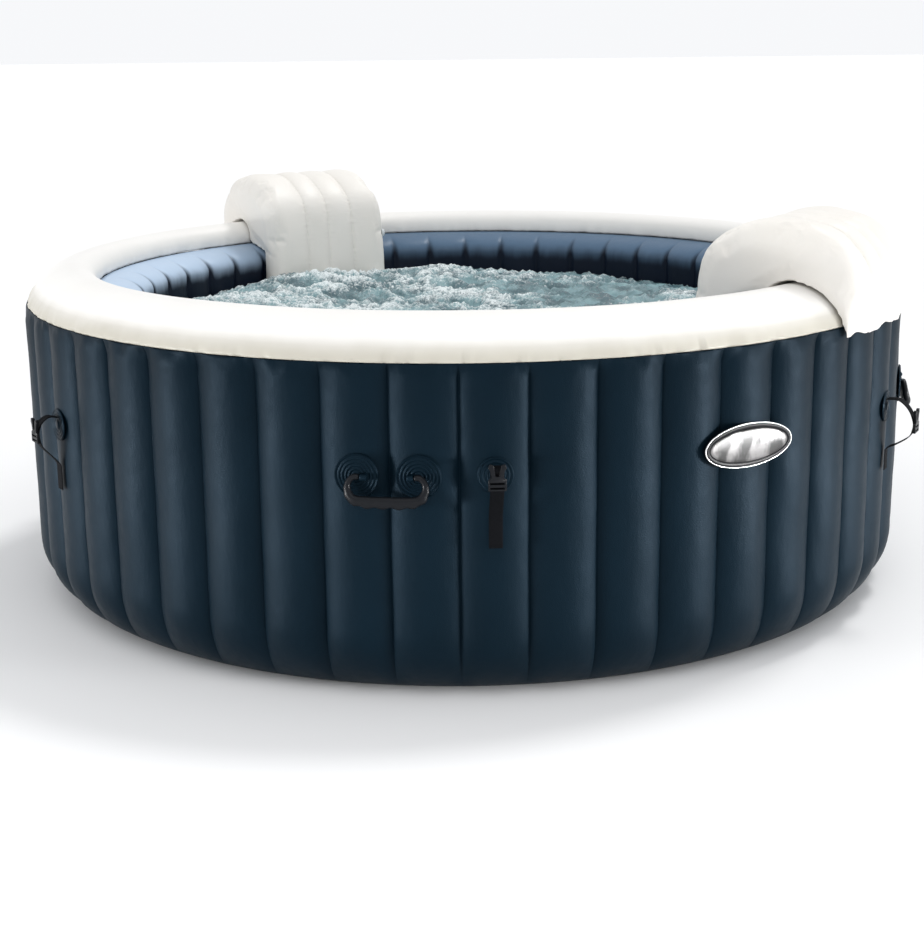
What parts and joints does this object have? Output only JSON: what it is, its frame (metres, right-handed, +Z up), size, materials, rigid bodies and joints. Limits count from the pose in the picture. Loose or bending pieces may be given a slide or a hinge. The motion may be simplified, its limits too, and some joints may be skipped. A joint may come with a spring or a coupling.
{
  "type": "inflatable hot tub",
  "caption": "Round inflatable hot tub with a ribbed navy wall, soft white rim, pale blue and navy inside, clip-over headrests, carry handles and buckle straps",
  "frame": {"origin": "middle of the underside, on the ground", "axes": "+Z up out of the tub; -Y towards the side with the badge to the right of a carry handle; +X to the right seen from there"},
  "size_m": [2.004, 2.0584, 0.8324],
  "materials": {
    "navy_vinyl": "laminated vinyl with a fine grain, semi-matt",
    "white_vinyl": "soft vinyl, satin",
    "headrest_vinyl": "soft vinyl, satin",
    "clear_vinyl": "moulded soft vinyl, milky",
    "pool_blue_vinyl": "laminated vinyl, satin",
    "web_fabric": "coated fabric",
    "black_plastic": "moulded, satin",
    "grey_plastic": "moulded, satin",
    "black_webbing": "woven webbing",
    "silver_face": "brushed"
  },
  "bodies": {
    "tub": {"outer_wall": "navy_vinyl", "top_rim": "white_vinyl", "inner_wall": "pool_blue_vinyl", "wall_webs": "web_fabric", "floor_sheet": "pool_blue_vinyl", "base_ring": "navy_vinyl", "bubble_ring": "pool_blue_vinyl", "badge_base": "black_plastic", "badge_face": "silver_face", "water_inlet_fitting": "black_plastic", "water_outlet_fitting": "black_plastic", "air_inlet_fitting": "black_plastic", "drain_fitting": "black_plastic", "inflation_valve_fitting": "black_plastic", "handle_1_lug_a": "navy_vinyl", "handle_1_lug_b": "navy_vinyl", "handle_2_lug_a": "navy_vinyl", "handle_2_lug_b": "navy_vinyl", "handle_3_lug_a": "navy_vinyl", "handle_3_lug_b": "navy_vinyl", "handle_4_lug_a": "navy_vinyl", "handle_4_lug_b": "navy_vinyl", "strap_1_patch": "navy_vinyl", "strap_2_patch": "navy_vinyl", "strap_3_patch": "navy_vinyl", "strap_4_patch": "navy_vinyl", "strap_5_patch": "navy_vinyl", "strap_6_patch": "navy_vinyl"},
    "water_inlet_cap": {"water_inlet_cap": "grey_plastic"},
    "water_outlet_cap": {"water_outlet_cap": "grey_plastic"},
    "air_inlet_cap": {"air_inlet_cap": "grey_plastic"},
    "drain_cap": {"drain_cap": "grey_plastic"},
    "inflation_valve_cap": {"inflation_valve_cap": "grey_plastic"},
    "water_inlet_strainer": {"water_inlet_strainer": "grey_plastic"},
    "water_outlet_strainer": {"water_outlet_strainer": "grey_plastic"},
    "handle_1": {"handle_1_grip": "black_plastic"},
    "handle_2": {"handle_2_grip": "black_plastic"},
    "handle_3": {"handle_3_grip": "black_plastic"},
    "handle_4": {"handle_4_grip": "black_plastic"},
    "strap_1": {"strap_1_webbing": "black_webbing", "strap_1_buckle": "black_plastic"},
    "strap_2": {"strap_2_webbing": "black_webbing", "strap_2_buckle": "black_plastic"},
    "strap_3": {"strap_3_webbing": "black_webbing", "strap_3_buckle": "black_plastic"},
    "strap_4": {"strap_4_webbing": "black_webbing", "strap_4_buckle": "black_plastic"},
    "strap_5": {"strap_5_webbing": "black_webbing", "strap_5_buckle": "black_plastic"},
    "strap_6": {"strap_6_webbing": "black_webbing", "strap_6_buckle": "black_plastic"},
    "headrest_left": {"headrest_left_cushion": "headrest_vinyl", "headrest_left_valve": "clear_vinyl"},
    "headrest_left_plug": {"headrest_left_plug": "clear_vinyl"},
    "headrest_right": {"headrest_right_cushion": "headrest_vinyl", "headrest_right_valve": "clear_vinyl"},
    "headrest_right_plug": {"headrest_right_plug": "clear_vinyl"}
  },
  "joints": [
    {"name": "water_inlet_cap_off", "type": "slide", "parent": "tub", "child": "water_inlet_cap", "axis": [0.3396, 0.9406, 0], "range_m": [0, 0.06]},
    {"name": "water_outlet_cap_off", "type": "slide", "parent": "tub", "child": "water_outlet_cap", "axis": [0.0845, 0.9964, 0], "range_m": [0, 0.06]},
    {"name": "air_inlet_cap_off", "type": "slide", "parent": "tub", "child": "air_inlet_cap", "axis": [-0.1762, 0.9843, 0], "range_m": [0, 0.06]},
    {"name": "drain_cap_off", "type": "slide", "parent": "tub", "child": "drain_cap", "axis": [0.5714, 0.8207, 0], "range_m": [0, 0.06]},
    {"name": "inflation_valve_cap_off", "type": "slide", "parent": "tub", "child": "inflation_valve_cap", "axis": [-0.425, 0.9052, 0], "range_m": [0, 0.06]},
    {"name": "water_inlet_strainer_out", "type": "slide", "parent": "tub", "child": "water_inlet_strainer", "axis": [-0.3396, -0.9406, 0], "range_m": [0, 0.05]},
    {"name": "water_outlet_strainer_out", "type": "slide", "parent": "tub", "child": "water_outlet_strainer", "axis": [-0.0845, -0.9964, 0], "range_m": [0, 0.05]},
    {"name": "handle_1_lift", "type": "hinge", "parent": "tub", "child": "handle_1", "pos_m": [-0.14768, -0.97647, 0.431], "axis": [-0.9888, 0.1495, 0], "range_deg": [0, 150]},
    {"name": "handle_2_lift", "type": "hinge", "parent": "tub", "child": "handle_2", "pos_m": [0.97647, -0.14768, 0.431], "axis": [-0.1495, -0.9888, 0], "range_deg": [0, 150]},
    {"name": "handle_3_lift", "type": "hinge", "parent": "tub", "child": "handle_3", "pos_m": [0.14768, 0.97647, 0.431], "axis": [0.9888, -0.1495, 0], "range_deg": [0, 150]},
    {"name": "handle_4_lift", "type": "hinge", "parent": "tub", "child": "handle_4", "pos_m": [-0.97647, 0.14768, 0.431], "axis": [0.1495, 0.9888, 0], "range_deg": [0, 150]},
    {"name": "strap_1_swing", "type": "hinge", "parent": "tub", "child": "strap_1", "pos_m": [0.04539, -0.98065, 0.45], "axis": [-0.9989, -0.0462, 0], "range_deg": [0, 50]},
    {"name": "strap_2_swing", "type": "hinge", "parent": "tub", "child": "strap_2", "pos_m": [0.87196, -0.45102, 0.45], "axis": [-0.4594, -0.8882, 0], "range_deg": [0, 50]},
    {"name": "strap_3_swing", "type": "hinge", "parent": "tub", "child": "strap_3", "pos_m": [0.82657, 0.52963, 0.45], "axis": [0.5395, -0.842, 0], "range_deg": [0, 50]},
    {"name": "strap_4_swing", "type": "hinge", "parent": "tub", "child": "strap_4", "pos_m": [-0.04539, 0.98065, 0.45], "axis": [0.9989, 0.0462, 0], "range_deg": [0, 50]},
    {"name": "strap_5_swing", "type": "hinge", "parent": "tub", "child": "strap_5", "pos_m": [-0.87196, 0.45102, 0.45], "axis": [0.4594, 0.8882, 0], "range_deg": [0, 50]},
    {"name": "strap_6_swing", "type": "hinge", "parent": "tub", "child": "strap_6", "pos_m": [-0.82657, -0.52963, 0.45], "axis": [-0.5395, 0.842, 0], "range_deg": [0, 50]},
    {"name": "headrest_left_lift_off", "type": "slide", "parent": "tub", "child": "headrest_left", "axis": [0, 0, 1], "range_m": [0, 0.3]},
    {"name": "headrest_left_plug_out", "type": "slide", "parent": "headrest_left", "child": "headrest_left_plug", "axis": [0.8545, 0.5195, 0], "range_m": [0, 0.02]},
    {"name": "headrest_right_lift_off", "type": "slide", "parent": "tub", "child": "headrest_right", "axis": [0, 0, 1], "range_m": [0, 0.3]},
    {"name": "headrest_right_plug_out", "type": "slide", "parent": "headrest_right", "child": "headrest_right_plug", "axis": [0.5373, 0.8434, 0], "range_m": [0, 0.02]}
  ]
}
